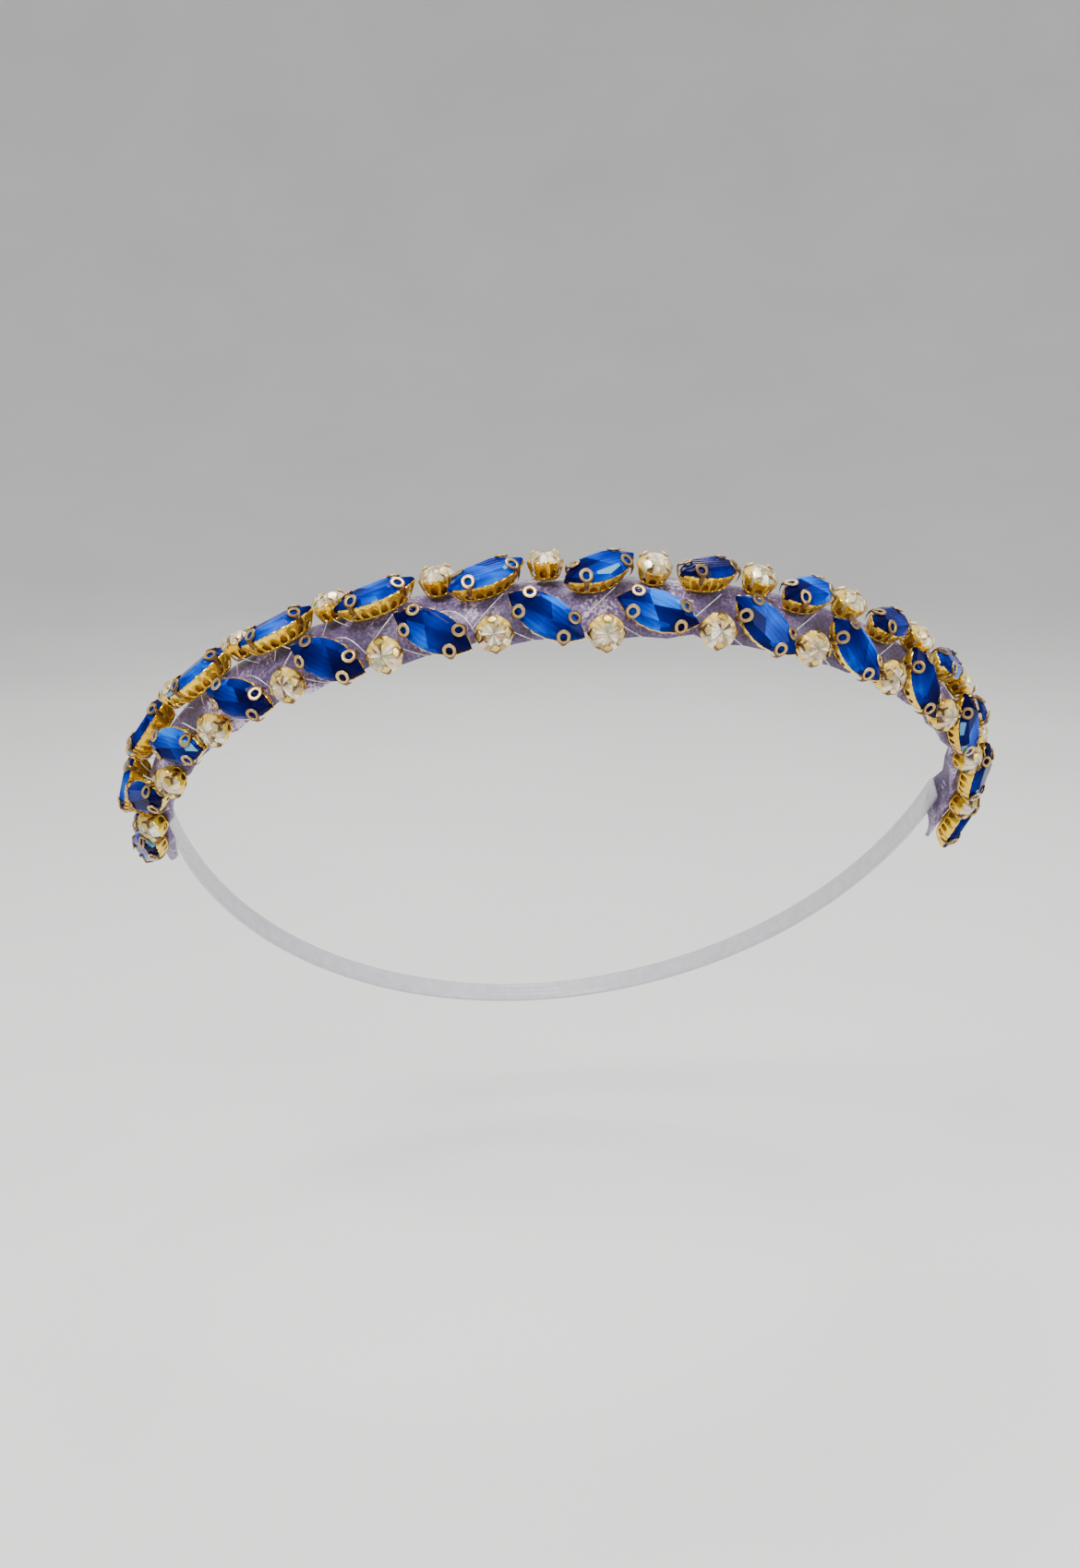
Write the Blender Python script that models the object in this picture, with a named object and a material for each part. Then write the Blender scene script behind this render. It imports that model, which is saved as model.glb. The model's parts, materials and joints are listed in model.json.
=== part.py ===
"""Rhinestone headband: two herringbone rows of claw-set stones sewn to a clear film strip,
closed behind the head by a clear elastic strap. The band keeps the form it has when worn.

Real size, in metres, +Z up. The origin lies on the inner face of the film at the middle of
the front, where the band sits on the head. The wearer faces -Y.
"""

import math
from collections import namedtuple

import bmesh
import bpy
import numpy as np
from mathutils import Matrix, Vector

MM = 0.001

# The loop as it is worn: an oval in a plane that rises from the nape to the hairline.
HALF_BREADTH = 85.0 * MM
FRONT_REACH = 70.0 * MM
BACK_REACH = 115.0 * MM
LOOP_RISE = math.radians(45.0)

# The film strip, arched across its width and leaning forwards more towards its ends.
FILM_THICK = 1.0 * MM
FILM_ARCH = 9.0 * MM
ARCH_DROP = 7.0 * MM
FILM_END = 136.0 * MM
END_TAPER = 8.0 * MM
FILM_FLAT = 1.5 * MM
END_LEAN = math.radians(9.0) / (100.0 * MM) ** 2
STATIONS_PER_PITCH = 4

# The clear elastic strap.
STRAP_WIDE = 5.0 * MM
STRAP_THICK = 0.8 * MM
STRAP_BACKSET = 1.5 * MM
STRAP_DROP = 0.9 * MM
STRAP_LAP = 12.0 * MM
STRAP_STEPS = 31

# The stones and their cups.
PITCH = 18.8 * MM
SEAT_GAP = 0.3 * MM
CUP_TALL = 3.0 * MM
NAVETTE_LONG = 15.0 * MM
NAVETTE_WIDE = 7.0 * MM
NAVETTE_RADIUS = (NAVETTE_LONG**2 + NAVETTE_WIDE**2) / (4.0 * NAVETTE_WIDE)
NAVETTE_TABLE = 0.56
ARC_STEPS = 4
CRYSTAL_WIDE = 6.2 * MM
CRYSTAL_TABLE = 0.54
CRYSTAL_SIDES = 8
CROWN_TALL = 1.5 * MM
RIM_PROUD = 0.2 * MM
RIM_TALL = 0.5 * MM
CUP_TAPER = 0.68
FOOT_REACH = 2.4 * MM
ARCH_FALL = FOOT_REACH**2 / (2.0 * FILM_ARCH)

# The prongs: rings on a navette, short tabs on a round stone.
RING_WIDE = 2.6 * MM
RING_HOLE = 1.2 * MM
RING_THICK = 0.4 * MM
RING_SIDES = 6
RING_ALONG = 4.6 * MM
RING_RAISE = 0.15 * MM
TAB_WIDE = 1.2 * MM
TAB_LONG = 1.2 * MM
TAB_THICK = 0.4 * MM
TAB_RAISE = 0.05 * MM
PRONG_TILT = math.radians(38.0)
PRONG_INSET = 0.1 * MM

# How far past the middle of the strip each edge of the film is cut, for the four stations
# of a pitch, counted from just past a stone at that edge.
Cut = namedtuple("Cut", "past_stone beside_navette at_navette_tip notch")
FRONT_CUT = Cut(8.3 * MM, 7.7 * MM, 7.9 * MM, 6.8 * MM)
BACK_CUT = Cut(7.4 * MM, 6.9 * MM, 7.1 * MM, 6.2 * MM)

# One row of stones: how far it leans round the arch, how its stones are turned, how far the
# whole row is shifted along, and the places of its first and last stone in pitches.
Row = namedtuple("Row", "name kind lean turn shift first last")
ROWS = (
    Row("navette_lower", "navette", 27.0, -34.0, 0.0, -6.5, 6.5),
    Row("crystal_lower", "crystal", 37.0, 0.0, 0.6, -6.0, 6.0),
    Row("navette_upper", "navette", -16.0, 30.0, 0.0, -7.0, 7.0),
    Row("crystal_upper", "crystal", -24.5, 45.0, 0.5, -6.5, 6.5),
)

# Stones that the sewing left a little off their row, in millimetres and degrees. A stone with
# a tilt under zero is tipped towards the back edge, and its cup is lifted clear of the film,
# less what the arch falls away under its back foot.
Sewn = namedtuple("Sewn", "row place along front turn tilt")
SEWN_BY_HAND = (
    Sewn("navette_lower", 0.5, -0.4, -0.6, 18.0, 0.0),
    Sewn("navette_lower", 3.5, -0.4, 0.0, -8.0, 0.0),
    Sewn("crystal_lower", 1.0, 0.25, 0.0, 0.0, 0.0),
    Sewn("crystal_lower", 0.0, -0.2, 1.2, 0.0, 0.0),
    Sewn("crystal_lower", -3.0, 0.0, -0.5, 0.0, 0.0),
    Sewn("crystal_lower", -5.0, -0.2, 1.2, 0.0, 0.0),
    Sewn("navette_upper", 1.0, 0.0, 0.0, 0.0, -14.0),
    Sewn("navette_upper", -1.0, 0.1, 0.0, 0.0, -8.0),
    Sewn("navette_upper", -2.0, 0.0, 0.4, -8.0, -18.0),
    Sewn("navette_upper", -3.0, -0.1, 0.0, -8.0, -22.0),
    Sewn("navette_upper", -4.0, 0.0, 0.0, 0.0, -20.0),
    Sewn("navette_upper", -5.0, 0.0, 0.0, 0.0, -15.0),
    Sewn("navette_upper", -6.0, 0.0, 0.0, 0.0, -12.0),
    Sewn("navette_upper", -7.0, -0.5, 0.0, -8.0, 0.0),
    Sewn("crystal_upper", -6.5, 0.0, 0.0, 0.0, -22.0),
    Sewn("crystal_upper", -5.5, 0.0, 0.0, 0.0, -24.0),
    Sewn("crystal_upper", -4.5, 0.0, 0.0, 0.0, -24.0),
    Sewn("crystal_upper", -3.5, -0.1, 0.0, 0.0, -24.0),
    Sewn("crystal_upper", -2.5, 0.15, 0.0, 0.0, -20.0),
    Sewn("crystal_upper", -1.5, 0.6, 0.0, 0.0, -12.0),
    Sewn("crystal_upper", -0.5, 0.1, 0.0, 0.0, -20.0),
    Sewn("crystal_upper", 0.5, -0.3, 0.0, 0.0, 6.0),
)
IN_ROW = Sewn("", 0.0, 0.0, 0.0, 0.0, 0.0)


def clear_scene():
    """Empties the scene, so that only the headband is in it."""
    for obj in list(bpy.data.objects):
        bpy.data.objects.remove(obj)


def finish(name, colour, roughness, metallic, transmission=0.0):
    """A plain material in one colour."""
    material = bpy.data.materials.new(name)
    material.use_nodes = True
    shader = material.node_tree.nodes["Principled BSDF"]
    shader.inputs["Base Color"].default_value = (*colour, 1.0)
    shader.inputs["Roughness"].default_value = roughness
    shader.inputs["Metallic"].default_value = metallic
    shader.inputs["Transmission Weight"].default_value = transmission
    return material


class Loop:
    """The closed oval of the worn band, read by the length along it from the front middle."""

    STEPS = 4000
    NEAR = 0.5 * MM

    def __init__(self):
        turn = np.linspace(-math.pi, math.pi, self.STEPS + 1)
        reach = np.where(np.abs(turn) < math.pi / 2, FRONT_REACH, BACK_REACH)
        self.x = HALF_BREADTH * np.sin(turn)
        self.z = reach * np.cos(turn)
        self.along = np.concatenate([[0.0], np.cumsum(np.hypot(np.diff(self.x), np.diff(self.z)))])
        self.along -= np.interp(0.0, turn, self.along)
        self.half = self.along[-1]

    def frame(self, along):
        """The point on the oval, its tangent and its outward normal, in the loop's plane."""
        lengths = (along, along - self.NEAR, along + self.NEAR)
        x, before_x, after_x = np.interp(lengths, self.along, self.x)
        z, before_z, after_z = np.interp(lengths, self.along, self.z)
        tangent = Vector((after_x - before_x, 0.0, after_z - before_z)).normalized()
        outward = Vector((-tangent.z, 0.0, tangent.x))
        return Vector((x, 0.0, z)), tangent, outward


LOOP = Loop()
FRONT = Vector((0.0, -1.0, 0.0))


def on_arch(along, lean, reach):
    """A frame on the arched strip: X along it, Y towards its back edge, Z out of it.

    lean turns round the arch towards the front edge, reach is the distance from its centre.
    """
    point, tangent, outward = LOOP.frame(along)
    lean = lean + END_LEAN * along**2
    out = outward * math.cos(lean) + FRONT * math.sin(lean)
    place = point - outward * ARCH_DROP + out * reach
    side = out.cross(tangent)
    frame = Matrix((tangent, side, out)).transposed().to_4x4()
    frame.translation = place
    return frame


def mesh_object(name, shape, materials):
    """Turns a bmesh into a named object with its materials."""
    mesh = bpy.data.meshes.new(name)
    shape.to_mesh(mesh)
    shape.free()
    for material in materials:
        mesh.materials.append(material)
    obj = bpy.data.objects.new(name, mesh)
    bpy.context.scene.collection.objects.link(obj)
    return obj


def sheet(name, stations, across, thick, material):
    """A thin curved piece: a grid whose points across(station) gives, with its thickness."""
    lines = [across(station) for station in stations]
    shape = bmesh.new()
    bmesh.ops.create_grid(shape, x_segments=len(lines) - 1, y_segments=len(lines[0]) - 1, size=1.0)
    for vert in shape.verts:
        column = round((vert.co.x + 1.0) / 2.0 * (len(lines) - 1))
        row = round((vert.co.y + 1.0) / 2.0 * (len(lines[0]) - 1))
        vert.co = lines[column][row]
    obj = mesh_object(name, shape, [material])
    wall = obj.modifiers.new("wall", "SOLIDIFY")
    wall.thickness = thick
    wall.offset = -1.0
    wall.use_even_offset = True
    return obj


def film_stations():
    """Stations from end to end, with a flat piece of film centred on the front middle."""
    most = int(FILM_END / PITCH * STATIONS_PER_PITCH)
    return [index + 0.5 for index in range(-most - 1, most + 1)]


def rounded_end(along):
    """The share of its full width that the film has, which falls near its rounded ends."""
    past = max(0.0, abs(along) - (FILM_END - END_TAPER)) / END_TAPER
    return math.sqrt(1.0 - past**2)


def film_line(station):
    """The outer face of the film across the strip, at one station."""
    along = station * PITCH / STATIONS_PER_PITCH
    phase = math.floor(station) % STATIONS_PER_PITCH
    front = FRONT_CUT[phase] * rounded_end(along)
    back = BACK_CUT[(phase + STATIONS_PER_PITCH // 2) % STATIONS_PER_PITCH] * rounded_end(along)
    front_half = [front, (front + FILM_FLAT) / 2.0, FILM_FLAT]
    back_half = [-FILM_FLAT, -(back + FILM_FLAT) / 2.0, -back]
    return [on_arch(along, wide / FILM_ARCH, FILM_ARCH).translation for wide in front_half + back_half]


def strap_line(along):
    """The outer face of the strap across its width, at one length along the loop."""
    point, _, outward = LOOP.frame(along)
    middle = point - outward * (STRAP_DROP - STRAP_THICK / 2) - FRONT * STRAP_BACKSET
    return [middle + FRONT * STRAP_WIDE / 2, middle - FRONT * STRAP_WIDE / 2]


def strap_stations():
    """Lengths from inside one end of the film, round the back, to inside the other end."""
    start = FILM_END - STRAP_LAP
    span = 2.0 * (LOOP.half - start)
    lengths = [start + span * step / STRAP_STEPS for step in range(STRAP_STEPS + 1)]
    return [length if length <= LOOP.half else length - 2.0 * LOOP.half for length in lengths]


def half_width(along):
    """How far a navette's edge is from its long axis, at a distance from its middle."""
    return math.sqrt(NAVETTE_RADIUS**2 - along**2) - NAVETTE_RADIUS + NAVETTE_WIDE / 2.0


def marquise():
    """The outline of a navette: two arcs that meet in a point at each end."""
    half_turn = math.asin(NAVETTE_LONG / 2.0 / NAVETTE_RADIUS)
    turns = [half_turn * (2.0 * step / ARC_STEPS - 1.0) for step in range(ARC_STEPS)]
    alongs = [NAVETTE_RADIUS * math.sin(turn) for turn in turns]
    side = [Vector((along, half_width(along), 0.0)) for along in alongs]
    return side + [-point for point in side]


def disc(wide, sides):
    """The outline of a round stone or ring."""
    turns = [2.0 * math.pi * (side + 0.5) / sides for side in range(sides)]
    return [Vector((math.cos(turn), -math.sin(turn), 0.0)) * wide / 2.0 for turn in turns]


def set_stone(outline, proud, table):
    """A cup with its stone, fused: foot, tapered wall, rim, then the crown and its table."""
    levels = (
        (CUP_TAPER, 0.0),
        (1.0 + proud, CUP_TALL - RIM_TALL),
        (1.0 + proud, CUP_TALL),
        (table, CUP_TALL + CROWN_TALL),
    )
    shape = bmesh.new()
    loops = []
    for size, height in levels:
        ring = [shape.verts.new(point * size + Vector((0.0, 0.0, height))) for point in outline]
        loops.append([shape.edges.new(pair) for pair in zip(ring, ring[1:] + ring[:1])])
    for lower, upper in zip(loops, loops[1:]):
        bmesh.ops.bridge_loops(shape, edges=lower + upper)
    bmesh.ops.edgeloop_fill(shape, edges=loops[0])
    bmesh.ops.edgeloop_fill(shape, edges=loops[-1])
    for face in shape.faces:
        face.material_index = int(face.calc_center_median().z > CUP_TALL)
    bmesh.ops.recalc_face_normals(shape, faces=shape.faces)
    return shape


def prism(outline, hole, thick):
    """A flat plate of an outline, with a hole of another outline where one is given."""
    shape = bmesh.new()
    loops = []
    for points in filter(None, (outline, hole)):
        ring = [shape.verts.new(point) for point in points]
        loops.append([shape.edges.new(pair) for pair in zip(ring, ring[1:] + ring[:1])])
    if hole:
        bmesh.ops.bridge_loops(shape, edges=loops[0] + loops[1])
    else:
        bmesh.ops.edgeloop_fill(shape, edges=loops[0])
    made = bmesh.ops.extrude_face_region(shape, geom=shape.faces[:])
    raised = [part for part in made["geom"] if isinstance(part, bmesh.types.BMVert)]
    bmesh.ops.translate(shape, verts=raised, vec=(0.0, 0.0, thick))
    bmesh.ops.recalc_face_normals(shape, faces=shape.faces)
    return shape


def ring_prongs(gold):
    """The four ring prongs of a navette, one near each end on both sides."""
    edge = half_width(RING_ALONG) - PRONG_INSET
    prongs = []
    for end in (-1.0, 1.0):
        for side in (-1.0, 1.0):
            shape = prism(disc(RING_WIDE, RING_SIDES), disc(RING_HOLE, RING_SIDES), RING_THICK)
            lean = Matrix.Rotation(-side * PRONG_TILT, 4, "X")
            place = Matrix.Translation((end * RING_ALONG, side * edge, CUP_TALL + RING_RAISE))
            bmesh.ops.transform(shape, matrix=place @ lean, verts=shape.verts)
            prongs.append(mesh_object("ring_prong", shape, [gold]))
    return prongs


def tab_prongs(gold):
    """The four short tabs of a round stone, folded over its edge."""
    long, wide = TAB_LONG / 2.0, TAB_WIDE / 2.0
    corners = [Vector((x, y, 0.0)) for x, y in ((-long, -wide), (-long, wide), (long, wide), (long, -wide))]
    edge = CRYSTAL_WIDE / 2.0 - PRONG_INSET
    prongs = []
    for quarter in range(4):
        shape = prism(corners, None, TAB_THICK)
        lean = Matrix.Rotation(PRONG_TILT, 4, "Y")
        place = Matrix.Translation((edge, 0.0, CUP_TALL + TAB_RAISE))
        around = Matrix.Rotation(math.radians(90.0 * quarter), 4, "Z")
        bmesh.ops.transform(shape, matrix=around @ place @ lean, verts=shape.verts)
        prongs.append(mesh_object("tab_prong", shape, [gold]))
    return prongs


def joined(name, shape, prongs, materials):
    """One mesh of a stone, its cup and its prongs, united."""
    obj = mesh_object(name, shape, materials)
    for prong in prongs:
        unite = obj.modifiers.new("unite", "BOOLEAN")
        unite.operation = "UNION"
        unite.object = prong
    bpy.context.view_layer.update()
    mesh = bpy.data.meshes.new_from_object(obj.evaluated_get(bpy.context.evaluated_depsgraph_get()))
    for helper in [obj, *prongs]:
        bpy.data.objects.remove(helper)
    mesh.name = name
    return mesh


def by_hand(row, place):
    """How the sewing left this stone off its row."""
    for sewn in SEWN_BY_HAND:
        if sewn.row == row.name and sewn.place == place:
            return sewn
    return IN_ROW


def sew_row(row, mesh, parent):
    """Places every stone of a row on the film, numbered from the wearer's right."""
    for number in range(round(row.last - row.first) + 1):
        place = row.first + number
        sewn = by_hand(row, place)
        tilt = math.radians(sewn.tilt)
        level = FILM_ARCH + SEAT_GAP + max(0.0, FOOT_REACH * abs(math.sin(tilt)) - ARCH_FALL)
        lean = math.radians(row.lean) + sewn.front * MM / (level + CUP_TALL)
        seat = on_arch(place * PITCH + (row.shift + sewn.along) * MM, lean, level)
        turn = Matrix.Rotation(math.radians(row.turn + sewn.turn), 4, "Z")
        obj = bpy.data.objects.new(f"{row.name}_{number + 1:02d}", mesh)
        bpy.context.scene.collection.objects.link(obj)
        obj.parent = parent
        obj.matrix_local = seat @ Matrix.Rotation(tilt, 4, "X") @ turn


def loop_frame():
    """An empty at the oval's centre, turned so that the loop rises to the front as worn."""
    flat = film_line(0.5)[2:4]
    inner = (flat[0].z + flat[1].z) / 2.0 - FILM_THICK
    empty = bpy.data.objects.new("loop_frame", None)
    bpy.context.scene.collection.objects.link(empty)
    rise = Matrix.Rotation(LOOP_RISE, 4, "X")
    empty.matrix_world = rise @ Matrix.Translation((0.0, 0.0, -inner))
    return empty


def build():
    """Makes the whole headband."""
    clear_scene()
    sapphire = finish("sapphire_glass", (0.01, 0.05, 0.42), 0.05, 0.0)
    clear = finish("clear_crystal", (0.86, 0.84, 0.78), 0.04, 0.0)
    gold = finish("gilt_brass", (0.83, 0.6, 0.22), 0.22, 1.0)
    film = finish("clear_film", (0.62, 0.6, 0.72), 0.12, 0.0, 0.8)
    elastic = finish("clear_elastic", (0.8, 0.8, 0.82), 0.2, 0.0, 0.8)
    parent = loop_frame()

    band = sheet("film_band", film_stations(), film_line, FILM_THICK, film)
    strap = sheet("elastic_strap", strap_stations(), strap_line, STRAP_THICK, elastic)
    band.parent = parent
    strap.parent = parent

    long_stone = set_stone(marquise(), 2.0 * RIM_PROUD / NAVETTE_WIDE, NAVETTE_TABLE)
    round_outline = disc(CRYSTAL_WIDE, CRYSTAL_SIDES)
    round_stone = set_stone(round_outline, 2.0 * RIM_PROUD / CRYSTAL_WIDE, CRYSTAL_TABLE)
    meshes = {
        "navette": joined("navette", long_stone, ring_prongs(gold), [gold, sapphire]),
        "crystal": joined("crystal", round_stone, tab_prongs(gold), [gold, clear]),
    }
    for row in ROWS:
        sew_row(row, meshes[row.kind], parent)


build()
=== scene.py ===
"""Looks of the rhinestone headband: cut stones in gilt cups, sewn with clear thread to a clear
film, closed by a clear elastic strap. Lengths of small parts are in millimetres until a piece
is placed on the band; everything placed is in metres.
"""

import json
import math
import random
from collections import namedtuple

import bmesh
import bpy
import numpy as np
from mathutils import Matrix, Vector

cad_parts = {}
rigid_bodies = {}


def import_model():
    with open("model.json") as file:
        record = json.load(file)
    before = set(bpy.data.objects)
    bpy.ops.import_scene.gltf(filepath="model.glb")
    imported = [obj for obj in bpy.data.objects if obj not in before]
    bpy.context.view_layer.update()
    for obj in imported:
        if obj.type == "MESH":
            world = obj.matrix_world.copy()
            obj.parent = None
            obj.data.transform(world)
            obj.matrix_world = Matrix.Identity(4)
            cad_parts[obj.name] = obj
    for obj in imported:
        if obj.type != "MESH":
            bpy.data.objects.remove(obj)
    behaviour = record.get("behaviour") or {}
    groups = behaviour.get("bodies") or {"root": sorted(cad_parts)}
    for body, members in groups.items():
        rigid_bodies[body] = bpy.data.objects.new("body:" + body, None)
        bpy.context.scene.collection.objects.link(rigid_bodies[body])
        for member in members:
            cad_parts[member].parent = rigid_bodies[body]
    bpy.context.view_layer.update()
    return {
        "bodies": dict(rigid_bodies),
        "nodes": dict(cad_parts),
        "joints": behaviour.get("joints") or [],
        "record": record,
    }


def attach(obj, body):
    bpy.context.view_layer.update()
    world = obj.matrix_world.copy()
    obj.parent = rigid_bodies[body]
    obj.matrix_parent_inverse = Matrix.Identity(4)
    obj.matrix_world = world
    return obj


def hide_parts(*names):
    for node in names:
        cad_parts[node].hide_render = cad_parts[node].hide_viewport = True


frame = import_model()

MM = 0.001
TO_METRES = Matrix.Scale(MM, 4)

# The loop as it is worn, as in the solids: half an oval to the front and a longer half behind.
HALF_BREADTH = 85.0 * MM
FRONT_REACH = 70.0 * MM
BACK_REACH = 115.0 * MM
LOOP_RISE = math.radians(45.0)
PITCH = 18.8 * MM

# The film strip: arched across its width, leaning forwards towards its ends.
FILM_ARCH = 9.0 * MM
ARCH_DROP = 7.0 * MM
FILM_THICK = 1.0 * MM
FILM_FLAT = 1.5 * MM
FILM_END = 136.0 * MM
FILM_CUT_OFF = 2.0 * MM
FRONT_TAPER = 18.0 * MM
BACK_TAPER = 8.0 * MM
END_LEAN = math.radians(9.0) / (100.0 * MM) ** 2
SEAT_GAP = 0.3 * MM

# How far past the middle of the strip each edge of the film is cut, for the four quarters of
# a pitch, counted from just past a stone at that edge.
Cut = namedtuple("Cut", "past_stone beside_navette at_navette_tip notch")
FRONT_CUT = Cut(8.3 * MM, 7.7 * MM, 7.9 * MM, 6.8 * MM)
BACK_CUT = Cut(7.4 * MM, 6.9 * MM, 7.1 * MM, 6.2 * MM)

# The strap.
STRAP_WIDE = 5.0 * MM
STRAP_THICK = 0.8 * MM
STRAP_BACKSET = 1.5 * MM
STRAP_DROP = 0.9 * MM
STRAP_LAP = 12.0 * MM

# One row of stones: how far it leans round the arch, how its stones are turned, how far the
# whole row is shifted along, and the places of its first and last stone in pitches.
Row = namedtuple("Row", "name kind lean turn shift first last")
ROWS = (
    Row("navette_lower", "navette", 27.0, -34.0, 0.0, -6.5, 6.5),
    Row("crystal_lower", "crystal", 37.0, 0.0, 0.6, -6.0, 6.0),
    Row("navette_upper", "navette", -16.0, 30.0, 0.0, -7.0, 7.0),
    Row("crystal_upper", "crystal", -24.5, 45.0, 0.5, -6.5, 6.5),
)

# Stones that the sewing left a little off their row, in millimetres and degrees. A stone with
# a tilt under zero is tipped towards the back edge, and its cup is lifted clear of the film,
# less what the arch falls away under its back foot.
Sewn = namedtuple("Sewn", "row place along front turn tilt")
SEWN_BY_HAND = (
    Sewn("navette_lower", 0.5, -0.4, -0.6, 18.0, 0.0),
    Sewn("navette_lower", 3.5, -0.4, 0.0, -8.0, 0.0),
    Sewn("crystal_lower", 1.0, 0.25, 0.0, 0.0, 0.0),
    Sewn("crystal_lower", 0.0, -0.2, 1.2, 0.0, 0.0),
    Sewn("crystal_lower", -3.0, 0.0, -0.5, 0.0, 0.0),
    Sewn("crystal_lower", -5.0, -0.2, 1.2, 0.0, 0.0),
    Sewn("navette_upper", 1.0, 0.0, 0.0, 0.0, -14.0),
    Sewn("navette_upper", -1.0, 0.1, 0.0, 0.0, -8.0),
    Sewn("navette_upper", -2.0, 0.0, 0.4, -8.0, -18.0),
    Sewn("navette_upper", -3.0, -0.1, 0.0, -8.0, -22.0),
    Sewn("navette_upper", -4.0, 0.0, 0.0, 0.0, -20.0),
    Sewn("navette_upper", -5.0, 0.0, 0.0, 0.0, -15.0),
    Sewn("navette_upper", -6.0, 0.0, 0.0, 0.0, -12.0),
    Sewn("navette_upper", -7.0, -0.5, 0.0, -8.0, 0.0),
    Sewn("crystal_upper", -6.5, 0.0, 0.0, 0.0, -22.0),
    Sewn("crystal_upper", -5.5, 0.0, 0.0, 0.0, -24.0),
    Sewn("crystal_upper", -4.5, 0.0, 0.0, 0.0, -24.0),
    Sewn("crystal_upper", -3.5, -0.1, 0.0, 0.0, -24.0),
    Sewn("crystal_upper", -2.5, 0.15, 0.0, 0.0, -20.0),
    Sewn("crystal_upper", -1.5, 0.6, 0.0, 0.0, -12.0),
    Sewn("crystal_upper", -0.5, 0.1, 0.0, 0.0, -20.0),
    Sewn("crystal_upper", 0.5, -0.3, 0.0, 0.0, 6.0),
)
IN_ROW = Sewn("", 0.0, 0.0, 0.0, 0.0, 0.0)

# Stones and cups, in millimetres.
CUP_TALL = 3.0
NAVETTE_LONG = 15.0
NAVETTE_WIDE = 7.0
NAVETTE_RADIUS = (NAVETTE_LONG**2 + NAVETTE_WIDE**2) / (4.0 * NAVETTE_WIDE)
NAVETTE_HALF_TURN = math.asin(NAVETTE_LONG / 2.0 / NAVETTE_RADIUS)
CRYSTAL_WIDE = 6.2
CROWN_TALL = 1.5

# A cup's foot as a share of its rim, how far it reaches across the band, where a tipped stone
# stands on it, and how far the film's arch has fallen away there.
FOOT_SHARE = 0.68
FOOT_REACH = 2.4
ARCH_FALL = FOOT_REACH**2 * MM / (2.0 * FILM_ARCH)


class Loop:
    """The closed oval of the worn band, read by the length along it from the front middle."""

    STEPS = 4000
    NEAR = 0.5 * MM

    def __init__(self):
        turn = np.linspace(-math.pi, math.pi, self.STEPS + 1)
        reach = np.where(np.abs(turn) < math.pi / 2, FRONT_REACH, BACK_REACH)
        self.x = HALF_BREADTH * np.sin(turn)
        self.z = reach * np.cos(turn)
        self.along = np.concatenate([[0.0], np.cumsum(np.hypot(np.diff(self.x), np.diff(self.z)))])
        self.along -= np.interp(0.0, turn, self.along)
        self.half = self.along[-1]

    def frame(self, along):
        """The point on the oval, its tangent and its outward normal, in the loop's plane."""
        lengths = (along, along - self.NEAR, along + self.NEAR)
        x, before_x, after_x = np.interp(lengths, self.along, self.x)
        z, before_z, after_z = np.interp(lengths, self.along, self.z)
        tangent = Vector((after_x - before_x, 0.0, after_z - before_z)).normalized()
        outward = Vector((-tangent.z, 0.0, tangent.x))
        return Vector((x, 0.0, z)), tangent, outward


LOOP = Loop()
FRONT = Vector((0.0, -1.0, 0.0))


def in_loop(along, lean, reach):
    """A frame on the arched strip, in the loop's own axes: X along, Y to the back edge, Z out."""
    point, tangent, outward = LOOP.frame(along)
    lean = lean + END_LEAN * along**2
    out = outward * math.cos(lean) + FRONT * math.sin(lean)
    frame = Matrix((tangent, out.cross(tangent), out)).transposed().to_4x4()
    frame.translation = point - outward * ARCH_DROP + out * reach
    return frame


def worn():
    """Takes the loop's own axes to the worn place, with the inner front face at the origin."""
    flat = in_loop(PITCH / 8.0, FILM_FLAT / FILM_ARCH, FILM_ARCH)
    lowered = Matrix.Translation((0.0, 0.0, FILM_THICK - flat.translation.z))
    return Matrix.Rotation(LOOP_RISE, 4, "X") @ lowered


WORN = worn()


def on_film(along, across, height):
    """A point over the film: metres along, metres from its middle to the front edge, height."""
    return (WORN @ in_loop(along, across / FILM_ARCH, FILM_ARCH + height)).translation


def by_hand(row, place):
    """How the sewing left this stone off its row."""
    for sewn in SEWN_BY_HAND:
        if sewn.row == row.name and sewn.place == place:
            return sewn
    return IN_ROW


def stone_seats(row):
    """The frame of every stone of a row on the film, from the wearer's right."""
    for number in range(round(row.last - row.first) + 1):
        place = row.first + number
        sewn = by_hand(row, place)
        tilt = math.radians(sewn.tilt)
        lift = max(0.0, FOOT_REACH * abs(math.sin(tilt)) - ARCH_FALL) * MM
        level = FILM_ARCH + SEAT_GAP + lift
        lean = math.radians(row.lean) + sewn.front * MM / (level + CUP_TALL * MM)
        seat = in_loop(place * PITCH + (row.shift + sewn.along) * MM, lean, level)
        turn = Matrix.Rotation(math.radians(row.turn + sewn.turn), 4, "Z")
        yield WORN @ seat @ Matrix.Rotation(tilt, 4, "X") @ turn


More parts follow.
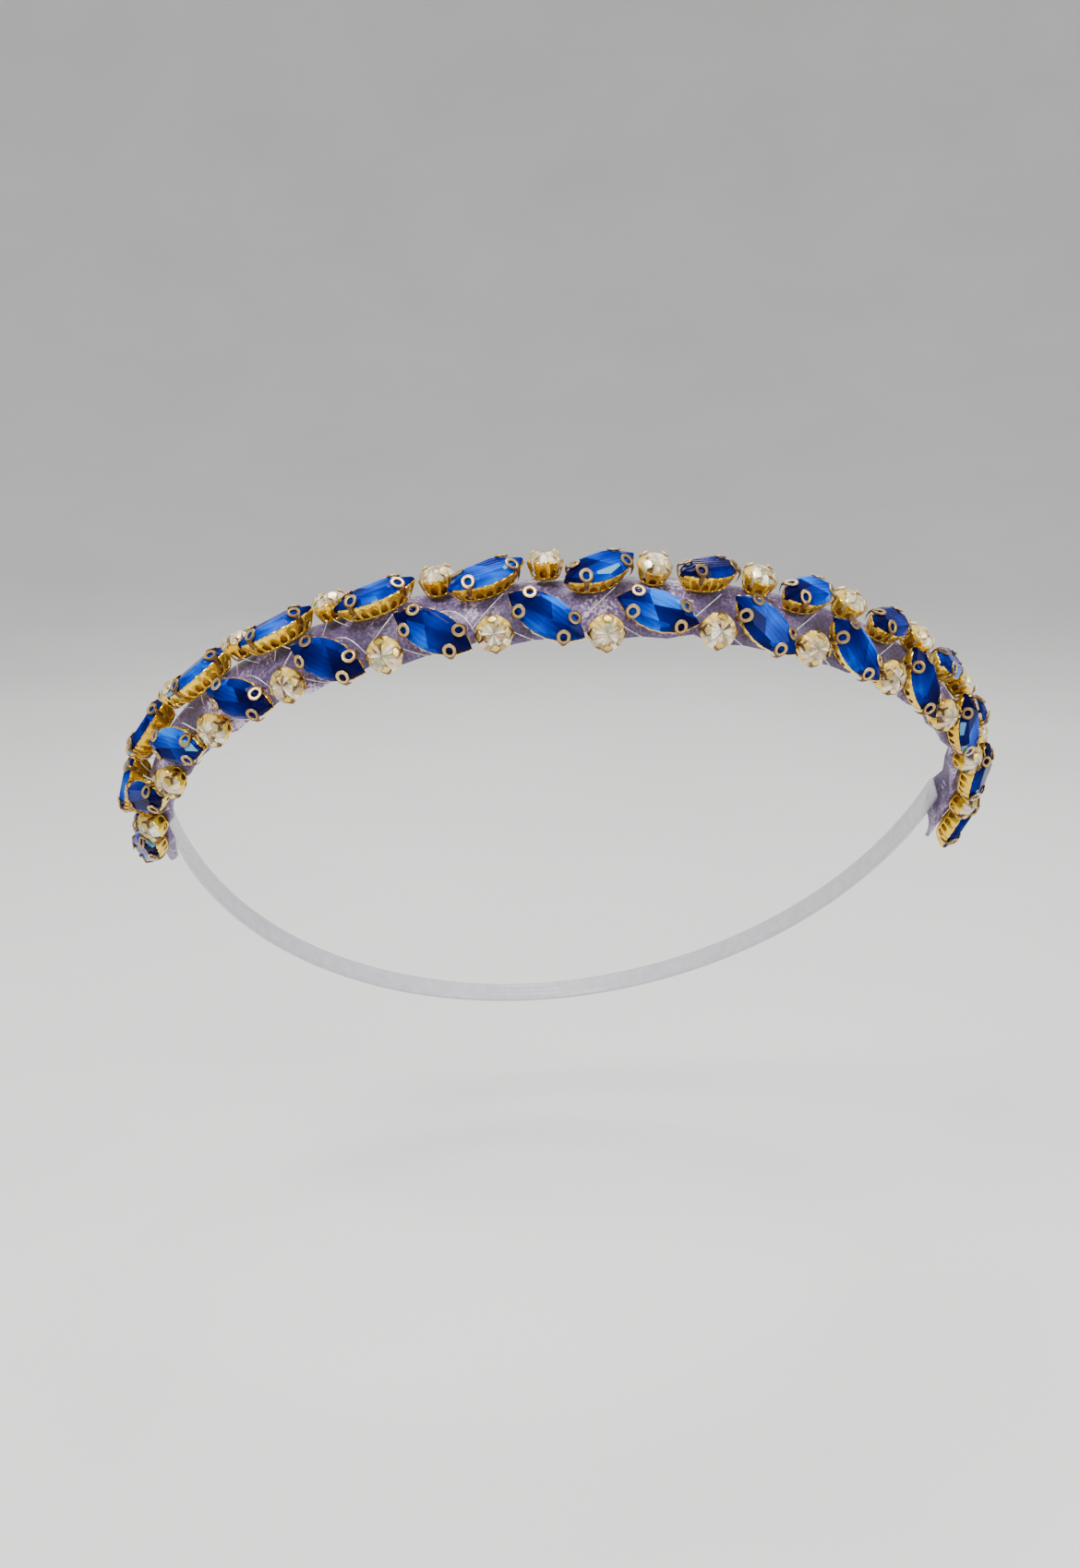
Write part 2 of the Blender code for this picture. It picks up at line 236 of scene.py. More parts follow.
# Shader building
class Wire:
    """A shader socket that takes part in arithmetic; each operator adds its Math node."""

    def __init__(self, finish, socket):
        self.finish = finish
        self.socket = socket

    def math(self, operation, *others):
        terms = dict(enumerate((self, *others)))
        return self.finish.node("ShaderNodeMath", {"operation": operation}, terms)

    def __add__(self, other):
        return self.math("ADD", other)

    def __radd__(self, other):
        return self.math("ADD", other)

    def __sub__(self, other):
        return self.math("SUBTRACT", other)

    def __rsub__(self, other):
        return (self * -1.0).math("ADD", other)

    def __mul__(self, other):
        return self.math("MULTIPLY", other)

    def __rmul__(self, other):
        return self.math("MULTIPLY", other)

    def __truediv__(self, other):
        return self.math("DIVIDE", other)

    def __abs__(self):
        return self.math("ABSOLUTE")


class Finish:
    """A material under construction: a Principled shader and the nodes that feed it."""

    def __init__(self, name, **constants):
        self.material = bpy.data.materials.new(name)
        self.material.use_nodes = True
        self.tree = self.material.node_tree
        self.shader = self.tree.nodes["Principled BSDF"]
        for socket, value in constants.items():
            self.set(socket.replace("_", " "), value)

    def node(self, kind, settings=None, inputs=None, output=0):
        """Adds a node: its settings, with a ramp's stops, then its sockets' values or links."""
        made = self.tree.nodes.new(kind)
        for name, value in (settings or {}).items():
            if name == "stops":
                self.set_stops(made.color_ramp, value)
            else:
                setattr(made, name, value)
        for name, value in (inputs or {}).items():
            self.feed(made.inputs[name], value)
        return Wire(self, made.outputs[output])

    def set_stops(self, ramp, stops):
        while len(ramp.elements) < len(stops):
            ramp.elements.new(1.0)
        for element, (position, colour) in zip(ramp.elements, stops):
            element.position = position
            element.color = (*colour, 1.0)

    def feed(self, socket, value):
        if isinstance(value, Wire):
            self.tree.links.new(value.socket, socket)
        else:
            socket.default_value = value

    def set(self, socket, value):
        """Feeds one of the shader's own sockets."""
        self.feed(self.shader.inputs[socket], value)

    def ramp(self, value, stops, interpolation="LINEAR"):
        made = self.node("ShaderNodeValToRGB", {"stops": stops}, {0: value})
        made.socket.node.color_ramp.interpolation = interpolation
        return made

    def mask(self, value, start, end, most=1.0):
        """A share that rises from 0 to the most given while the value goes from start to end."""
        return self.ramp(value, ((start, (0.0, 0.0, 0.0)), (end, (most, most, most))))

    def noise(self, scale, detail=3.0):
        inputs = {"Vector": self.node("ShaderNodeTexCoord", output="Object")}
        inputs.update(Scale=scale, Detail=detail)
        return self.node("ShaderNodeTexNoise", {}, inputs)

    def bump(self, height, distance, strength=1.0):
        """Feeds the normal from a height whose unit is the distance given."""
        inputs = {"Height": height, "Distance": distance, "Strength": strength}
        self.set("Normal", self.node("ShaderNodeBump", {}, inputs))

    def local(self):
        """The place from the piece's own map: on a stone, cup or prong in millimetres as it was
        made, and on a strip in steps of its grid."""
        where = self.node("ShaderNodeUVMap", {"uv_map": "local"})
        split = self.node("ShaderNodeSeparateXYZ", {}, {0: where})
        return split, Wire(self, split.socket.node.outputs[1])

    def tint(self):
        """The chance number of each face, which on a stone is a facet, from 0 to 1."""
        return self.node("ShaderNodeAttribute", {"attribute_name": "tint"}, output="Fac")

    def stone(self):
        """The chance number of each whole stone, cup, back or prong, from 0 to 1."""
        return self.node("ShaderNodeAttribute", {"attribute_name": "stone"}, output="Fac")

    def chance(self, number):
        """A chance number from 0 to 1 that belongs to the number given."""
        return self.node("ShaderNodeTexWhiteNoise", {"noise_dimensions": "1D"}, {"W": number})

    def mix(self, share, first, second):
        """A colour between two others."""
        terms = {"Factor": share, "A": self.opaque(first), "B": self.opaque(second)}
        mixed = self.tree.nodes.new("ShaderNodeMix")
        mixed.data_type = "RGBA"
        sockets = {socket.name: socket for socket in mixed.inputs if socket.enabled}
        for name, value in terms.items():
            self.feed(sockets[name], value)
        return Wire(self, next(socket for socket in mixed.outputs if socket.enabled))

    def opaque(self, colour):
        return colour if isinstance(colour, Wire) else (*colour, 1.0)


# How far apart the chance numbers of two stones are read, how far a front facet shifts what
# shows through it, in millimetres, and the turn of the grinding's fine lines per millimetre.
STONE_SPREAD = 97.0
FACET_BEND = 3.0
GRIND_ACROSS = 7.4
GRIND_ALONG = 1.1


def sapphire_glass():
    """Deep blue foiled glass. Four foiled back facets show through the front, each with its own
    depth of blue and, where it is bright, the fine lines of its grinding. Every front facet
    shows them a little out of place, as it bends the light its own way."""
    finish = Finish("sapphire_glass", Roughness=0.08, IOR=1.4, Specular_IOR_Level=0.05)
    along, across = finish.local()
    stone = finish.stone()
    tint = finish.tint()
    bent = (tint - 0.5) * FACET_BEND
    quarter = (along + across * 0.7 + bent).math("SIGN") * 3.0
    quarter = quarter + (across - along * 0.12 - bent * 0.4).math("SIGN") * 7.0
    depth = finish.chance(quarter + stone * STONE_SPREAD)
    ripple = finish.noise(420.0, 2.0)
    lines = (across * GRIND_ACROSS + along * GRIND_ALONG + ripple * 5.0).math("SINE")
    fall = abs(along) * -0.05 + abs(across) * 0.06
    shade = depth * 0.58 + tint * 0.24 + lines * depth * 0.05 + ripple * 0.12 + fall + 0.05
    blue = finish.ramp(shade, (
        (0.15, (0.002, 0.001, 0.03)),
        (0.38, (0.001, 0.004, 0.09)),
        (0.58, (0.0, 0.015, 0.23)),
        (0.76, (0.0, 0.055, 0.48)),
        (0.95, (0.0, 0.16, 0.8)),
    ))
    glint = finish.mask(tint, 0.965, 0.97)
    blue = finish.mix(glint, blue, (0.12, 0.32, 0.5))
    finish.set("Base Color", blue)
    finish.bump(lines * 0.015 + depth * 0.3, MM, 0.5)
    return finish.material


# The fans round a crystal and the rings of them to a millimetre, and how far apart the chance
# numbers of two rings are read.
CRYSTAL_FANS = 14.0
CRYSTAL_RINGS = 0.5
RING_SPREAD = 31.0


def clear_crystal():
    """Clear foiled glass: champagne, rose and green-grey fans of back facets with dark seams
    between them, and a painted reflection of the cup's gold towards the back."""
    finish = Finish("clear_crystal", Roughness=0.1, IOR=1.45, Specular_IOR_Level=0.3)
    along, across = finish.local()
    radius = (along * along + across * across).math("SQRT")
    fan = across.math("ARCTAN2", along) * (CRYSTAL_FANS / (2.0 * math.pi))
    which = fan.math("FLOOR") + (radius * CRYSTAL_RINGS).math("FLOOR") * RING_SPREAD
    chance = finish.chance(which + finish.stone() * STONE_SPREAD)
    cloud = finish.noise(700.0, 2.0)
    pale = finish.ramp(finish.tint() * 0.25 + chance * 0.85 + cloud * 0.15 - 0.12, (
        (0.0, (0.13, 0.075, 0.03)),
        (0.14, (0.46, 0.31, 0.15)),
        (0.3, (0.42, 0.43, 0.26)),
        (0.46, (0.78, 0.55, 0.4)),
        (0.62, (0.85, 0.74, 0.44)),
        (0.78, (0.98, 0.93, 0.78)),
    ), "CONSTANT")
    between = abs(fan.math("FRACT") - 0.5)
    seam = finish.mask(between, 0.4, 0.5, 0.75)
    pale = finish.mix(seam, pale, (0.2, 0.13, 0.07))
    # A painted reflection of the cup's gold, stronger towards the back of the stone.
    towards_back = across * 0.16 + radius * 0.12 + cloud * 0.5 + chance * 0.15
    painted_gold_reflection = finish.mask(towards_back, 0.62, 0.88, 0.85)
    finish.set("Base Color", finish.mix(painted_gold_reflection, pale, (0.68, 0.46, 0.06)))
    finish.bump(between * 0.6 + radius * 0.2, MM, 0.8)
    return finish.material


# Over what share of a prong's half width its painted shade outline sets in.
OUTLINE_SOFT = 0.16


def gilt(name, stops, roughness, outlined=None):
    """Gilt stampings, a little uneven, each piece with its own cast. A prong may be outlined:
    its sides and neck and the edge of its head get a painted shade of dark brown."""
    finish = Finish(name, Metallic=0.82)
    cloud = finish.noise(900.0)
    shade = finish.stone() * 0.6 + cloud * 0.4
    gold = finish.ramp(shade, stops)
    if outlined:
        aside, out = finish.local()
        out = (out + outlined.inset) / math.cos(math.radians(outlined.slope))
        out = out.math("MAXIMUM", outlined.longer) - outlined.longer + out.math("MINIMUM", 0.0)
        reach = (aside * aside + out * out).math("SQRT") * (2.0 / outlined.wide)
        # Painted shade: the prong's sides, neck and the edge of its head are darkened brown where
        # it meets the stone.
        painted_edge_shade = finish.mask(reach, outlined.outline, outlined.outline + OUTLINE_SOFT, 0.95)
        gold = finish.mix(painted_edge_shade, gold, (0.12, 0.055, 0.02))
    finish.set("Base Color", gold)
    finish.set("Roughness", cloud * 0.14 + roughness)
    finish.bump(finish.noise(2600.0, 2.0), 0.05 * MM, 0.35)
    return finish.material


def clear_film():
    """Clear soft film with a lilac cast, creased and glossy, catching specks of light."""
    finish = Finish("clear_film", Roughness=0.3, IOR=1.4, Specular_IOR_Level=0.35)
    crease = finish.noise(110.0, 2.0)
    spark = finish.noise(1800.0, 1.0)
    lilac = finish.ramp(crease * 0.6 + spark * 0.4, (
        (0.38, (0.06, 0.038, 0.1)),
        (0.5, (0.125, 0.085, 0.2)),
        (0.58, (0.25, 0.18, 0.36)),
        (0.63, (0.7, 0.6, 0.82)),
    ))
    finish.set("Base Color", lilac)
    finish.set("Alpha", crease * 0.25 + 0.72)
    finish.bump(crease * 4.0 + spark * 0.25, 0.4 * MM, 0.6)
    return finish.material


# From one ridge of the strap to the next, in steps of its grid across it.
STRAP_RIDGE = 0.9


def clear_elastic():
    """Clear silicone strap with fine ridges along it."""
    finish = Finish("clear_elastic", Roughness=0.25, IOR=1.45, Coat_Weight=0.3)
    _, across = finish.local()
    ridge = (across * (2.0 * math.pi / STRAP_RIDGE)).math("SINE")
    cloud = finish.noise(300.0)
    grey = finish.ramp(cloud, ((0.3, (0.52, 0.52, 0.57)), (0.7, (0.6, 0.6, 0.65))))
    finish.set("Base Color", grey)
    finish.set("Alpha", cloud * 0.12 + 0.56)
    finish.bump(ridge * 0.5 + cloud * 0.3, 0.12 * MM)
    return finish.material


def nylon_thread():
    """White-clear thread with a bright sheen."""
    finish = Finish("nylon_thread", Roughness=0.2, Coat_Weight=0.5)
    cloud = finish.noise(1500.0)
    white = finish.ramp(cloud, ((0.35, (0.4, 0.38, 0.46)), (0.65, (0.92, 0.9, 0.92))))
    finish.set("Base Color", white)
    return finish.material


def studio_floor():
    finish = Finish("pale_floor", Roughness=0.7, Emission_Strength=0.12)
    cloud = finish.noise(6.0)
    pale = finish.ramp(cloud, ((0.3, (0.74, 0.73, 0.72)), (0.7, (0.78, 0.775, 0.765))))
    finish.set("Base Color", pale)
    finish.set("Emission Color", pale)
    return finish.material


# Mesh building
def half_width(along):
    """How far a navette's edge is from its long axis, at a distance from its middle."""
    return math.sqrt(NAVETTE_RADIUS**2 - along**2) - NAVETTE_RADIUS + NAVETTE_WIDE / 2.0


def navette_edge(share):
    """A point of a navette's outline and its outward direction, at a share of the way round."""
    side = 1.0 if share < 0.5 else -1.0
    turn = NAVETTE_HALF_TURN * (4.0 * (share % 0.5) - 1.0)
    along = NAVETTE_RADIUS * math.sin(turn)
    edge = Vector((along, half_width(along), 0.0)) * side
    return edge, Vector((math.sin(turn), math.cos(turn), 0.0)) * side


def round_edge(share):
    """The same for a round stone."""
    turn = 2.0 * math.pi * share
    out = Vector((math.cos(turn), -math.sin(turn), 0.0))
    return out * CRYSTAL_WIDE / 2.0, out


def grind(shape, point, normal):
    """Grinds one flat facet: what lies beyond the plane is taken off and the cut is closed."""
    whole = [*shape.verts, *shape.edges, *shape.faces]
    made = bmesh.ops.bisect_plane(
        shape, geom=whole, dist=1e-4, plane_co=point, plane_no=normal, clear_outer=True
    )
    edges = [part for part in made["geom_cut"] if isinstance(part, bmesh.types.BMEdge)]
    if len(edges) > 2:
        bmesh.ops.edgeloop_fill(shape, edges=edges)


def block(long, wide, tall, middle):
    """A plain block to be ground, with its middle at the height given."""
    shape = bmesh.new()
    bmesh.ops.create_cube(shape, size=1.0)
    size = Matrix.Diagonal((long, wide, tall, 1.0))
    raised = Matrix.Translation((0.0, 0.0, middle))
    bmesh.ops.transform(shape, matrix=raised @ size, verts=shape.verts)
    return shape


# How near to each other the points of a ground stone are made one, in millimetres.
SAME_POINT = 1e-3

# One row of a crown's facets: their places round the stone, their slope from lying flat, how
# far they are drawn in as a share, and their height over the girdle.
Facet = namedtuple("Facet", "shares slope inset height")


def cut_stone(edge, long, wide, girdle_sides, crown, depth):
    """A cut stone: a block, whose top and bottom are the table and the back, ground to its
    outline and then to its crown facets, row by row."""
    middle = CUP_TALL + (CROWN_TALL - depth) / 2.0
    shape = block(long + 1.0, wide + 1.0, CROWN_TALL + depth, middle)
    for side in range(girdle_sides):
        point, out = edge((side + 0.5) / girdle_sides)
        grind(shape, point, out)
    for facet in crown:
        for share in facet.shares:
            point, out = edge(share)
            slope = math.radians(facet.slope)
            normal = out * math.sin(slope) + Vector((0.0, 0.0, math.cos(slope)))
            at = point * (1.0 - facet.inset) + Vector((0.0, 0.0, CUP_TALL + facet.height))
            grind(shape, at, normal)
    bmesh.ops.remove_doubles(shape, verts=shape.verts, dist=SAME_POINT)
    return shape


def even_shares(count, start=0.5):
    """Places evenly round a stone, the first one a share of a step past its start."""
    return [((number + start) / count) % 1.0 for number in range(count)]


# How deep a stone sits in its cup, the gap under it, and the foiled back below: its sides, its
# size as a share of the stone, and how far its sides lean inwards.
GIRDLE_DEEP = 0.4
BACK_GAP = 0.05
BACK_SIDES = 14
BACK_SIZE = 0.92
BACK_SLOPE = math.radians(30.0)


def foiled_back(edge, long, wide):
    """The gilded back of a stone, inside its cup: a block ground to facets that lean inwards."""
    top = CUP_TALL - GIRDLE_DEEP - BACK_GAP
    shape = block(long, wide, top, top / 2.0)
    for share in even_shares(BACK_SIDES):
        point, out = edge(share)
        normal = out * math.cos(BACK_SLOPE) - Vector((0.0, 0.0, math.sin(BACK_SLOPE)))
        grind(shape, point * BACK_SIZE + Vector((0.0, 0.0, top)), normal)
    bmesh.ops.remove_doubles(shape, verts=shape.verts, dist=SAME_POINT)
    return shape


NAVETTE_SIDES = 28
CRYSTAL_SIDES = 24
NAVETTE_CROWN = (
    Facet(even_shares(12), 58.0, 0.0, 0.15),
    Facet((0.25, 0.75), 33.0, 0.0, 0.62),
    Facet((0.12, 0.38, 0.62, 0.88), 34.0, 0.0, 0.7),
    Facet((0.005, 0.495, 0.505, 0.995), 24.0, 0.0, 0.55),
)
CRYSTAL_CROWN = (
    Facet(even_shares(16), 56.0, 0.0, 0.12),
    Facet(even_shares(8, 0.0), 44.0, 0.0, 0.3),
    Facet(even_shares(8), 28.0, 0.46, 1.33),
)

# A face that lies this flat is a stone's table, and its chance number is kept under the glint.
LIES_FLAT = 0.99
TABLE_SHARE = 0.9


def put_in(target, template, matrix, chance):
    """Adds a copy of a template mesh to a joined piece, with its chance numbers."""
    tint = target.faces.layers.float["tint"]
    stone = target.faces.layers.float["stone"]
    place = target.loops.layers.uv["local"]
    verts_before, faces_before = len(target.verts), len(target.faces)
    target.from_mesh(template)
    target.verts.ensure_lookup_table()
    target.faces.ensure_lookup_table()
    whole = chance.random()
    for face in target.faces[faces_before:]:
        table = face.normal.z > LIES_FLAT
        face[tint] = chance.random() * (TABLE_SHARE if table else 1.0)
        face[stone] = whole
        for loop in face.loops:
            loop[place].uv = loop.vert.co.xy
    bmesh.ops.transform(target, matrix=matrix, verts=target.verts[verts_before:])


def joined_piece():
    """An empty piece with room for the chance numbers and the map that the finishes read."""
    shape = bmesh.new()
    shape.faces.layers.float.new("tint")
    shape.faces.layers.float.new("stone")
    shape.loops.layers.uv.new("local")
    return shape


def finish_piece(name, shape, material, slot, nodes, smooth_under=None):
    """Makes a piece of a joined bmesh: it rides on the band, for the nodes named. The slot given is
    not used.
    """
    mesh = bpy.data.meshes.new(name)
    shape.to_mesh(mesh)
    shape.free()
    mesh.materials.append(material)
    if smooth_under is not None:
        mesh.shade_smooth()
        mesh.set_sharp_from_angle(angle=math.radians(smooth_under))
    piece = bpy.data.objects.new(name, mesh)
    bpy.context.scene.collection.objects.link(piece)
    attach(piece, "root")
    if nodes:
        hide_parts(*nodes)
    return piece


def as_template(shape):
    mesh = bpy.data.meshes.new("template")
    shape.to_mesh(mesh)
    shape.free()
    return mesh


def in_order(shape):
    """The same shape with its points, edges and faces in a set order, since extruding makes
    them in an order that changes from run to run."""
    points = sorted(shape.verts, key=lambda vert: tuple(vert.co))
    for index, vert in enumerate(points):
        vert.index = index
    edges = [[vert.index for vert in edge.verts] for edge in shape.edges]
    faces = [[vert.index for vert in face.verts] for face in shape.faces]
    ordered = bmesh.new()
    verts = [ordered.verts.new(vert.co) for vert in points]
    for ends in sorted(edges, key=sorted):
        ordered.edges.new([verts[end] for end in sorted(ends)])
    for corners in sorted(faces, key=sorted):
        ordered.faces.new([verts[corner] for corner in corners])
    ordered.normal_update()
    shape.free()
    return ordered


# The levels of a cup, from its foot to its rim: the size as a share of the stone's outline,
# the height, and how far the ribs stand out. Its windows open between the level of the window
# band and the next, and each rises to an arch. A rib and its window take three columns: one at
# each side of the rib, and one in the middle of the window, which is drawn in.
WALL_THICK = 0.28
Level = namedtuple("Level", "size height rib")
CUP_LEVELS = (
    Level(FOOT_SHARE, -0.45, 0.0),
    Level(FOOT_SHARE + 0.08, 0.2, 0.12),
    Level(0.87, 1.15, 0.2),
    Level(0.95, 2.0, 0.24),
    Level(1.0, 2.45, 0.16),
    Level(1.0, 2.75, 0.3),
    Level(1.0, 3.08, 0.14),
)
WINDOW_BAND = 1
ARCH_RISE = 0.55
BAY_COLUMNS = 3
WINDOW_COLUMN = 2
WINDOW_DRAWN_IN = -0.4
NAVETTE_BAYS = 16
CRYSTAL_BAYS = 9


def above(vert, fresh):
    """The point that an extrusion has just made from this one."""
    return next(edge.other_vert(vert) for edge in vert.link_edges if edge.other_vert(vert) in fresh)


def cup(edge, bays):
    """A stamped cup: ribs between arched windows, a plain band and a rolled rim, and a floor."""
    shape = bmesh.new()
    columns = bays * BAY_COLUMNS
    ring = bmesh.ops.create_circle(shape, segments=columns, radius=1.0)["verts"]
    edges = shape.edges[:]
    rings = []
    for level in CUP_LEVELS:
        if rings:
            made = bmesh.ops.extrude_edge_only(shape, edges=edges)["geom"]
            fresh = {part for part in made if isinstance(part, bmesh.types.BMVert)}
            edges = [part for part in made if isinstance(part, bmesh.types.BMEdge)]
            edges = [part for part in edges if fresh.issuperset(part.verts)]
            ring = [above(vert, fresh) for vert in rings[-1]]
        rings.append(ring)
    for level, ring in zip(CUP_LEVELS, rings):
        for column, vert in enumerate(ring):
            point, out = edge(column / columns)
            in_window = column % BAY_COLUMNS == WINDOW_COLUMN
            rib = WINDOW_DRAWN_IN if in_window else 1.0
            vert.co = point * level.size + out * level.rib * rib + Vector((0.0, 0.0, level.height))
            if in_window and level is CUP_LEVELS[WINDOW_BAND + 1]:
                vert.co.z += ARCH_RISE
    low, high = rings[WINDOW_BAND], rings[WINDOW_BAND + 1]
    windows = []
    for column in range(columns):
        if column % BAY_COLUMNS:
            after = (column + 1) % columns
            corners = {low[column], low[after], high[column], high[after]}
            windows += [face for face in low[column].link_faces if corners == set(face.verts)]
    bmesh.ops.delete(shape, geom=windows, context="FACES")
    foot = set(rings[0])
    floor = [part for part in shape.edges if foot.issuperset(part.verts)]
    bmesh.ops.edgeloop_fill(shape, edges=floor)
    bmesh.ops.recalc_face_normals(shape, faces=shape.faces)
    shape = in_order(shape)
    bmesh.ops.solidify(shape, geom=shape.faces[:], thickness=WALL_THICK)
    bmesh.ops.recalc_face_normals(shape, faces=shape.faces)
    return in_order(shape)


# A prong: its width, how much longer than wide its head is, its hole or none, its thickness,
# the slope at which it lies on the stone, how far in from the edge its middle is and how high,
# and the share of its half width where its painted shade outline starts.
Prong = namedtuple("Prong", "wide longer hole thick slope inset height outline")
RING = Prong(2.6, 0.25, 1.1, 0.42, 33.0, 0.7, 1.08, 0.84)
TAB = Prong(2.1, -0.3, 0.0, 0.34, 46.0, 0.5, 0.92, 0.74)
RING_SEGMENTS = 16

# The neck starts on the side of the head past a share of its reach and goes down in steps: how
# far down and inwards each one goes, and its width as a share of the one before.
NECK_FROM = 0.9
NeckStep = namedtuple("NeckStep", "down inward share")
NECK_STEPS = (NeckStep(0.5, -0.1, 0.85), NeckStep(0.95, 0.2, 0.85), NeckStep(0.8, 0.35, 0.9))


def prong(kind):
    """A prong's rounded head, pierced or whole, bent over the stone's edge on a neck that runs
    down the cup's wall. It is made at the edge, which is the origin, with +Y pointing out."""
    shape = bmesh.new()
    head = kind.wide / 2.0
    bmesh.ops.create_circle(shape, segments=RING_SEGMENTS, radius=head, cap_ends=not kind.hole)
    if kind.hole:
        bmesh.ops.create_circle(shape, segments=RING_SEGMENTS, radius=kind.hole / 2.0)
        bmesh.ops.bridge_loops(shape, edges=shape.edges[:])
    outer_end = [vert for vert in shape.verts if vert.co.y > 0.01]
    bmesh.ops.translate(shape, verts=outer_end, vec=(0.0, kind.longer, 0.0))
    made = bmesh.ops.extrude_face_region(shape, geom=shape.faces[:])["geom"]
    raised = [part for part in made if isinstance(part, bmesh.types.BMVert)]
    bmesh.ops.translate(shape, verts=raised, vec=(0.0, 0.0, kind.thick))
    bmesh.ops.recalc_face_normals(shape, faces=shape.faces)
    reach = (head + kind.longer) * NECK_FROM
    side = [face for face in shape.faces if abs(face.normal.z) < 0.5]
    side = [face for face in side if face.calc_center_median().y > reach]
    slope = Matrix.Rotation(math.radians(-kind.slope), 4, "X")
    seat = Matrix.Translation((0.0, -kind.inset, CUP_TALL + kind.height))
    bmesh.ops.transform(shape, matrix=seat @ slope, verts=shape.verts)
    for step in NECK_STEPS:
        made = bmesh.ops.extrude_face_region(shape, geom=side)["geom"]
        bmesh.ops.delete(shape, geom=side, context="FACES_ONLY")
        side = [part for part in made if isinstance(part, bmesh.types.BMFace)]
        verts = list({vert for face in side for vert in face.verts})
        bmesh.ops.translate(shape, verts=verts, vec=(0.0, -step.inward, -step.down))
        bmesh.ops.scale(shape, vec=(step.share, 1.0, 1.0), verts=verts)
    bmesh.ops.recalc_face_normals(shape, faces=shape.faces)
    return in_order(shape)


def at_edge(edge, share):
    """The frame of a prong at a share of the way round a stone: +Y points straight out."""
    point, out = edge(share)
    return Matrix.Translation(point) @ Matrix.Rotation(math.atan2(-out.x, out.y), 4, "Z")


THREAD_RADIUS = 0.09 * MM

# A point that a thread passes, in millimetres: along the film from the middle of a place,
# across it from its middle to the front edge, and over it.
Pass = namedtuple("Pass", "along across height")
BETWEEN_ROWS = (Pass(-3.3, 4.6, 0.5), Pass(-0.4, 2.0, 0.9), Pass(2.6, -0.8, 0.8))
AT_FRONT_EDGE = (Pass(3.2, 5.6, 0.5), Pass(5.2, 6.8, 0.35), Pass(7.0, 7.6, 0.2))
OVER_NAVETTE_TIP = (
    Pass(1.6, 1.4, 1.8),
    Pass(3.6, 2.0, 3.2),
    Pass(5.6, 3.3, 3.7),
    Pass(6.9, 5.2, 2.6),
    Pass(7.4, 6.8, 0.5),
)
CRYSTAL_PLACES = range(-6, 7)
TIP_PLACES = (-5.5, -4.5, -3.5, -2.5, -1.5)


def sewn_run(place, passes):
    """The points of one length of thread, from a place counted in pitches."""
    middle = place * PITCH
    return [
        on_film(middle + point.along * MM, point.across * MM, point.height * MM) for point in passes
    ]


def sew_threads():
    """The lengths of thread that show, as lists of points over the film."""
    runs = []
    for place in CRYSTAL_PLACES:
        runs += [sewn_run(place, BETWEEN_ROWS), sewn_run(place, AT_FRONT_EDGE)]
    runs += [sewn_run(place, OVER_NAVETTE_TIP) for place in TIP_PLACES]
    return runs + lashings()


# The cups that are lashed: from which tilt on, in degrees, and up to which place.
LASHED_OVER = 10.0
LASHED_UP_TO = -2.5

# A lashing's points, in millimetres: along from the middle of its cup, in from the reach of
# the cup's foot, the share of the foot's lift that they are up, and how far they sink in.
Lash = namedtuple("Lash", "along inset share sink")
LASHING = (Lash(0.6, 0.6, 1.0, 0.0), Lash(1.4, 0.1, 0.6, 0.0), Lash(2.6, 0.0, 0.0, 0.1))
SIDES = (-1.0, 1.0)


def lashings():
    """A slanting stitch at each side of the tipped cups near the wearer's right end, from the
    front foot down to the film."""
    runs = []
    for sewn in SEWN_BY_HAND:
        if abs(sewn.tilt) < LASHED_OVER or sewn.place > LASHED_UP_TO:
            continue
        row = next(row for row in ROWS if row.name == sewn.row)
        middle = sewn.place * PITCH + (row.shift + sewn.along) * MM
        across = math.radians(row.lean) * FILM_ARCH + sewn.front * MM
        lifted = SEAT_GAP + 2.0 * FOOT_REACH * MM * math.sin(math.radians(abs(sewn.tilt)))
        for side in SIDES:
            runs.append([
                on_film(
                    middle + side * point.along * MM,
                    across + (FOOT_REACH - point.inset) * MM,
                    lifted * point.share - point.sink * MM,
                )
                for point in LASHING
            ])
    return runs


# A stitch under a stone, its height counted from where a thread lies on the inner face.
STITCH = (Pass(0.9, -1.3, 0.25), Pass(0.8, 0.0, 0.0), Pass(0.6, 1.4, 0.25))


def inner_stitches():
    """Two short stitches on the inner face of the film under every stone."""
    runs = []
    inner = -FILM_THICK - THREAD_RADIUS
    for row in ROWS:
        across = math.radians(row.lean) * FILM_ARCH
        for number in range(round(row.last - row.first) + 1):
            middle = (row.first + number) * PITCH + row.shift * MM
            for side in SIDES:
                runs.append([
                    on_film(
                        middle + side * point.along * MM,
                        across + point.across * MM,
                        inner + point.height * MM,
                    )
                    for point in STITCH
                ])
    return runs


def thread_piece(name, runs, radius, material):
    """One mesh of all the runs of thread, each a smooth tube."""
    curve = bpy.data.curves.new(name, "CURVE")
    curve.dimensions = "3D"
    curve.bevel_depth = radius
    curve.bevel_resolution = 1
    curve.resolution_u = 4
    curve.use_fill_caps = True
    for run in runs:
        spline = curve.splines.new("NURBS")
        spline.points.add(len(run) - 1)
        for point, place in zip(spline.points, run):
            point.co = (*place, 1.0)
        spline.use_endpoint_u = True
        spline.order_u = 3
    helper = bpy.data.objects.new(name + "_line", curve)
    bpy.context.scene.collection.objects.link(helper)
    tubes = helper.evaluated_get(bpy.context.evaluated_depsgraph_get())
    mesh = bpy.data.meshes.new_from_object(tubes)
    bpy.data.objects.remove(helper)
    shape = bmesh.new()
    shape.from_mesh(mesh)
    return finish_piece(name, shape, material, "nylon_thread", (), smooth_under=60.0)


